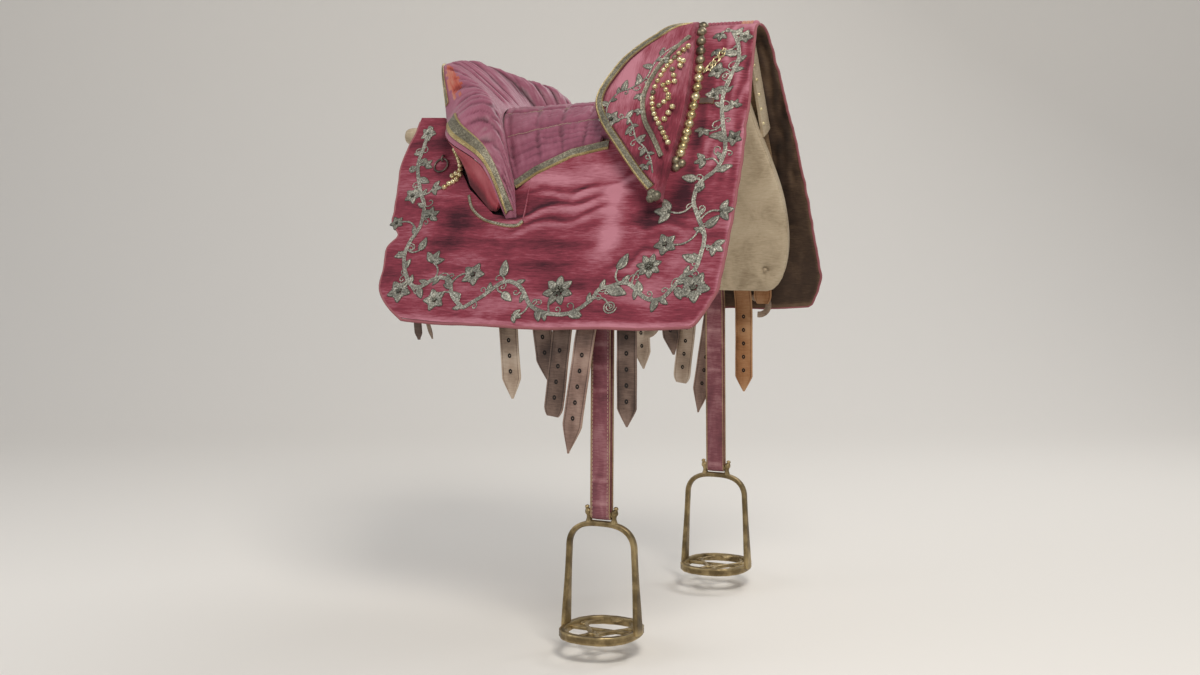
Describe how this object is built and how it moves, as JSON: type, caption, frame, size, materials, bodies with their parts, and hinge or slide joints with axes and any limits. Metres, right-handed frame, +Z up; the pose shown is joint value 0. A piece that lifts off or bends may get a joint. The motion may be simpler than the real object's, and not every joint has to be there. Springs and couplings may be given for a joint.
{
  "type": "military saddle",
  "caption": "Velvet-covered military saddle on a wooden tree, with quilted seat, high ribbed cantle, pommel wings, hinged flaps, girth billets and hanging stirrups.",
  "frame": {"origin": "On the symmetry plane, where the horse's back carries the saddle, below the seat and over the stirrup bars.", "axes": "+X is forward, towards the pommel; +Y is the horse's left; +Z is up. The picture shows the -Y side."},
  "size_m": [0.564, 0.5468, 0.852],
  "materials": {
    "velvet": "worn crimson velvet",
    "satin": "dusty rose satin",
    "galloon": "woven metal-thread braid",
    "brass": "gilt, rubbed",
    "dark_brass": "dark, dull",
    "iron": "dark forged",
    "wood": "plain beech",
    "suede": "matte suede",
    "red_leather": "smooth",
    "brown_leather": "dull",
    "pale_leather": "dull",
    "orange_leather": "dull"
  },
  "bodies": {
    "saddle": {"pommel_yoke": "wood", "pommel_plate": "iron", "cantle_yoke": "wood", "ground_seat": "brown_leather", "seat_cushion": "satin", "cantle_roll": "satin", "cantle_board": "velvet", "cantle_braid": "galloon", "pommel_pad": "satin", "pommel_clasp": "brass", "front_tab": "brown_leather", "side_bar_right": "wood", "side_bar_left": "wood", "panel_right": "suede", "panel_left": "suede", "rear_roll_right": "suede", "rear_roll_left": "suede", "housing_right": "velvet", "housing_left": "velvet", "pommel_wing_right": "velvet", "pommel_wing_left": "velvet", "wing_braid_right": "galloon", "wing_braid_left": "galloon", "wing_inner_braid_right": "galloon", "wing_inner_braid_left": "galloon", "front_nails_right": "brass", "front_nails_left": "brass", "rear_nails_right": "brass", "rear_nails_left": "brass", "wing_nails_right": "brass", "wing_nails_left": "brass", "seat_braid_right": "galloon", "seat_braid_left": "galloon", "rear_staple_right": "iron", "rear_staple_left": "iron", "stirrup_bar_right": "iron", "stirrup_bar_left": "iron"},
    "flap_right": {"flap_right": "velvet"},
    "rear_ring_right": {"rear_ring_right": "iron"},
    "stirrup_leather_right": {"stirrup_leather_right": "red_leather"},
    "stirrup_right": {"stirrup_right": "dark_brass"},
    "billet_rear_right": {"billet_rear_right": "pale_leather"},
    "billet_second_right": {"billet_second_right": "brown_leather"},
    "billet_third_right": {"billet_third_right": "brown_leather"},
    "billet_fourth_right": {"billet_fourth_right": "pale_leather"},
    "billet_front_right": {"billet_front_right": "brown_leather"},
    "billet_short_right": {"billet_short_right": "orange_leather"},
    "flap_left": {"flap_left": "velvet"},
    "rear_ring_left": {"rear_ring_left": "iron"},
    "stirrup_leather_left": {"stirrup_leather_left": "red_leather"},
    "stirrup_left": {"stirrup_left": "dark_brass"},
    "billet_rear_left": {"billet_rear_left": "pale_leather"},
    "billet_second_left": {"billet_second_left": "brown_leather"},
    "billet_third_left": {"billet_third_left": "brown_leather"},
    "billet_fourth_left": {"billet_fourth_left": "pale_leather"},
    "billet_front_left": {"billet_front_left": "brown_leather"},
    "billet_short_left": {"billet_short_left": "orange_leather"}
  },
  "joints": [
    {"name": "flap_right_fold", "type": "hinge", "parent": "saddle", "child": "flap_right", "pos_m": [0, -0.18066, -0.07012], "axis": [-1, 0, 0], "range_deg": [0, 70]},
    {"name": "rear_ring_right_swing", "type": "hinge", "parent": "saddle", "child": "rear_ring_right", "pos_m": [-0.303, -0.12816, 0.032], "axis": [-1, 0, 0], "range_deg": [0, 100]},
    {"name": "stirrup_leather_right_swing", "type": "hinge", "parent": "saddle", "child": "stirrup_leather_right", "pos_m": [0, -0.15678, -0.07044], "axis": [0, -0.8813, 0.4726], "range_deg": [-12, 12]},
    {"name": "stirrup_right_swing", "type": "hinge", "parent": "stirrup_leather_right", "child": "stirrup_right", "pos_m": [0, -0.21512, -0.457], "axis": [1, 0, 0], "range_deg": [-60, 60]},
    {"name": "billet_rear_right_sway", "type": "hinge", "parent": "saddle", "child": "billet_rear_right", "pos_m": [-0.15, -0.16137, -0.0589], "axis": [0, -0.8813, 0.4726], "range_deg": [-2, 2]},
    {"name": "billet_second_right_sway", "type": "hinge", "parent": "saddle", "child": "billet_second_right", "pos_m": [-0.11, -0.16137, -0.0589], "axis": [0, -0.8813, 0.4726], "range_deg": [-2, 2]},
    {"name": "billet_third_right_sway", "type": "hinge", "parent": "saddle", "child": "billet_third_right", "pos_m": [-0.032, -0.16419, -0.05739], "axis": [0, -0.8813, 0.4726], "range_deg": [-2, 2]},
    {"name": "billet_fourth_right_sway", "type": "hinge", "parent": "saddle", "child": "billet_fourth_right", "pos_m": [0.013, -0.16701, -0.05588], "axis": [0, -0.8813, 0.4726], "range_deg": [-2, 2]},
    {"name": "billet_front_right_sway", "type": "hinge", "parent": "saddle", "child": "billet_front_right", "pos_m": [0.043, -0.16137, -0.0589], "axis": [0, -0.8813, 0.4726], "range_deg": [-2, 2]},
    {"name": "billet_short_right_sway", "type": "hinge", "parent": "saddle", "child": "billet_short_right", "pos_m": [0.078, -0.16419, -0.05739], "axis": [0, -0.8813, 0.4726], "range_deg": [-2, 2]},
    {"name": "flap_left_fold", "type": "hinge", "parent": "saddle", "child": "flap_left", "pos_m": [0, 0.18066, -0.07012], "axis": [1, 0, 0], "range_deg": [0, 70]},
    {"name": "rear_ring_left_swing", "type": "hinge", "parent": "saddle", "child": "rear_ring_left", "pos_m": [-0.303, 0.12816, 0.032], "axis": [1, 0, 0], "range_deg": [0, 100]},
    {"name": "stirrup_leather_left_swing", "type": "hinge", "parent": "saddle", "child": "stirrup_leather_left", "pos_m": [0, 0.15678, -0.07044], "axis": [0, 0.8813, 0.4726], "range_deg": [-12, 12]},
    {"name": "stirrup_left_swing", "type": "hinge", "parent": "stirrup_leather_left", "child": "stirrup_left", "pos_m": [0, 0.21512, -0.457], "axis": [1, 0, 0], "range_deg": [-60, 60]},
    {"name": "billet_rear_left_sway", "type": "hinge", "parent": "saddle", "child": "billet_rear_left", "pos_m": [-0.15, 0.16137, -0.0589], "axis": [0, 0.8813, 0.4726], "range_deg": [-2, 2]},
    {"name": "billet_second_left_sway", "type": "hinge", "parent": "saddle", "child": "billet_second_left", "pos_m": [-0.11, 0.16137, -0.0589], "axis": [0, 0.8813, 0.4726], "range_deg": [-2, 2]},
    {"name": "billet_third_left_sway", "type": "hinge", "parent": "saddle", "child": "billet_third_left", "pos_m": [-0.032, 0.16419, -0.05739], "axis": [0, 0.8813, 0.4726], "range_deg": [-2, 2]},
    {"name": "billet_fourth_left_sway", "type": "hinge", "parent": "saddle", "child": "billet_fourth_left", "pos_m": [0.013, 0.16701, -0.05588], "axis": [0, 0.8813, 0.4726], "range_deg": [-2, 2]},
    {"name": "billet_front_left_sway", "type": "hinge", "parent": "saddle", "child": "billet_front_left", "pos_m": [0.043, 0.16137, -0.0589], "axis": [0, 0.8813, 0.4726], "range_deg": [-2, 2]},
    {"name": "billet_short_left_sway", "type": "hinge", "parent": "saddle", "child": "billet_short_left", "pos_m": [0.078, 0.16419, -0.05739], "axis": [0, 0.8813, 0.4726], "range_deg": [-2, 2]}
  ]
}
